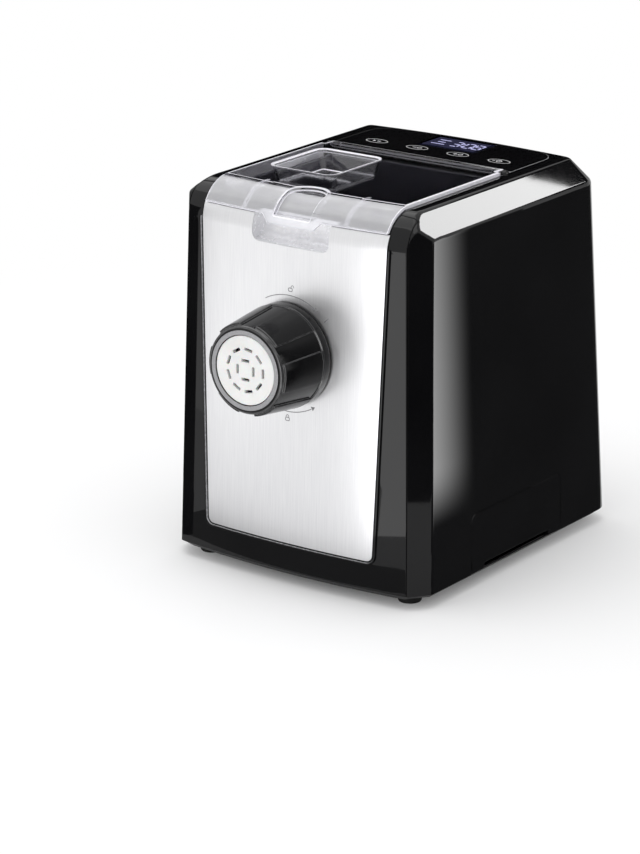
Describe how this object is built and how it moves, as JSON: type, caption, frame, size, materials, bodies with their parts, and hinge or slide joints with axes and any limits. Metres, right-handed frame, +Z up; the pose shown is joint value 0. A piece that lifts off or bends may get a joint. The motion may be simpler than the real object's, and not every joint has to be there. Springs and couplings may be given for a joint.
{
  "type": "electric pasta machine",
  "caption": "Countertop electric pasta machine: clear hinged lid over a mixing chamber, screw extruder with die and locking nut at the front, geared motor, accessory drawer.",
  "frame": {"origin": "middle of the overall box at the bottom of the feet", "axes": "+Z up, -Y towards the front with the die, +X to the right seen from the front"},
  "size_m": [0.23, 0.326, 0.2933],
  "materials": {
    "gloss_black": "gloss moulded",
    "satin_black": "satin moulded",
    "brushed_panel": "brushed upright",
    "silver_trim": "silver lacquer",
    "ring_grey": "grey lacquer",
    "clear_lid": "clear",
    "display_window": "dark pane",
    "chamber_grey": "smooth moulded",
    "die_white": "smooth moulded",
    "mixer_white": "smooth moulded",
    "rubber_black": "soft matt",
    "bare_steel": "ground",
    "screw_steel": "zinc plated",
    "gear_nylon": "moulded",
    "gearbox_grey": "moulded",
    "motor_zinc": "plated",
    "winding_copper": "lacquered wire",
    "rotor_iron": "laminated",
    "fan_black": "moulded",
    "plunger_white": "moulded",
    "board_green": "solder mask",
    "module_dark": "moulded"
  },
  "bodies": {
    "casing": {"barrel_screws": "screw_steel", "base_pan": "satin_black", "control_board": "board_green", "control_panel": "gloss_black", "cord_gland": "rubber_black", "counter_bearings": "bare_steel", "die": "die_white", "display_lens": "display_window", "display_module": "module_dark", "drawer_runners": "satin_black", "extruder_barrel": "chamber_grey", "feet": "rubber_black", "finger_pocket": "silver_trim", "front_bezel": "gloss_black", "front_panel": "brushed_panel", "gearbox_cover": "gearbox_grey", "gearbox_housing": "gearbox_grey", "gearbox_screws": "screw_steel", "hinge_pins": "bare_steel", "housing": "gloss_black", "interlock_switch": "fan_black", "leg_screws": "screw_steel", "mixing_chamber": "chamber_grey", "motor_bearings": "bare_steel", "motor_can": "motor_zinc", "motor_end_bells": "motor_zinc", "motor_saddle": "gearbox_grey", "motor_screws": "screw_steel", "motor_stator": "winding_copper", "output_bearings": "bare_steel", "panel_carrier": "satin_black", "power_board": "board_green", "rear_cover": "satin_black", "rear_cover_screws": "screw_steel", "shaft_seal": "rubber_black", "top_deck": "satin_black"},
    "lid": {"lid": "clear_lid"},
    "nut": {"die_nut": "gloss_black", "nut_ring": "ring_grey"},
    "drawer": {"drawer": "gloss_black"},
    "rotor": {"motor_rotor": "rotor_iron", "motor_shaft": "bare_steel", "motor_pinion": "bare_steel", "motor_fan": "fan_black"},
    "countershaft": {"countershaft": "bare_steel", "intermediate_gear": "gear_nylon", "intermediate_pinion": "bare_steel"},
    "screw": {"extrusion_screw": "mixer_white", "mixing_paddle": "mixer_white", "output_shaft": "bare_steel", "output_gear": "gear_nylon"},
    "plunger": {"interlock_plunger": "plunger_white"}
  },
  "joints": [
    {"name": "rotor_spin", "type": "hinge", "parent": "casing", "child": "rotor", "pos_m": [-0.04067, 0, 0.08013], "axis": [0, 1, 0], "continuous": true},
    {"name": "counter_spin", "type": "hinge", "parent": "casing", "child": "countershaft", "pos_m": [-0.01094, 0, 0.11556], "axis": [0, 1, 0], "continuous": true},
    {"name": "screw_spin", "type": "hinge", "parent": "casing", "child": "screw", "pos_m": [0, 0, 0.1776], "axis": [0, 1, 0], "continuous": true},
    {"name": "lid_hinge", "type": "hinge", "parent": "casing", "child": "lid", "pos_m": [0, 0.0507, 0.29], "axis": [-1, 0, 0], "range_deg": [0, 95]},
    {"name": "nut_turn", "type": "hinge", "parent": "casing", "child": "nut", "pos_m": [0, 0, 0.1776], "axis": [0, -1, 0], "range_deg": [0, 60]},
    {"name": "drawer_slide", "type": "slide", "parent": "casing", "child": "drawer", "axis": [1, 0, 0], "range_m": [0, 0.085]},
    {"name": "plunger_travel", "type": "slide", "parent": "casing", "child": "plunger", "axis": [0, 0, 1], "range_m": [0, 0.0031]}
  ],
  "couplings": [
    {"joint": "counter_spin", "follows": "rotor_spin", "ratio": -0.23333},
    {"joint": "screw_spin", "follows": "rotor_spin", "ratio": 0.066667},
    {"joint": "plunger_travel", "follows": "lid_hinge", "m_per_rad": 0.0018093}
  ]
}
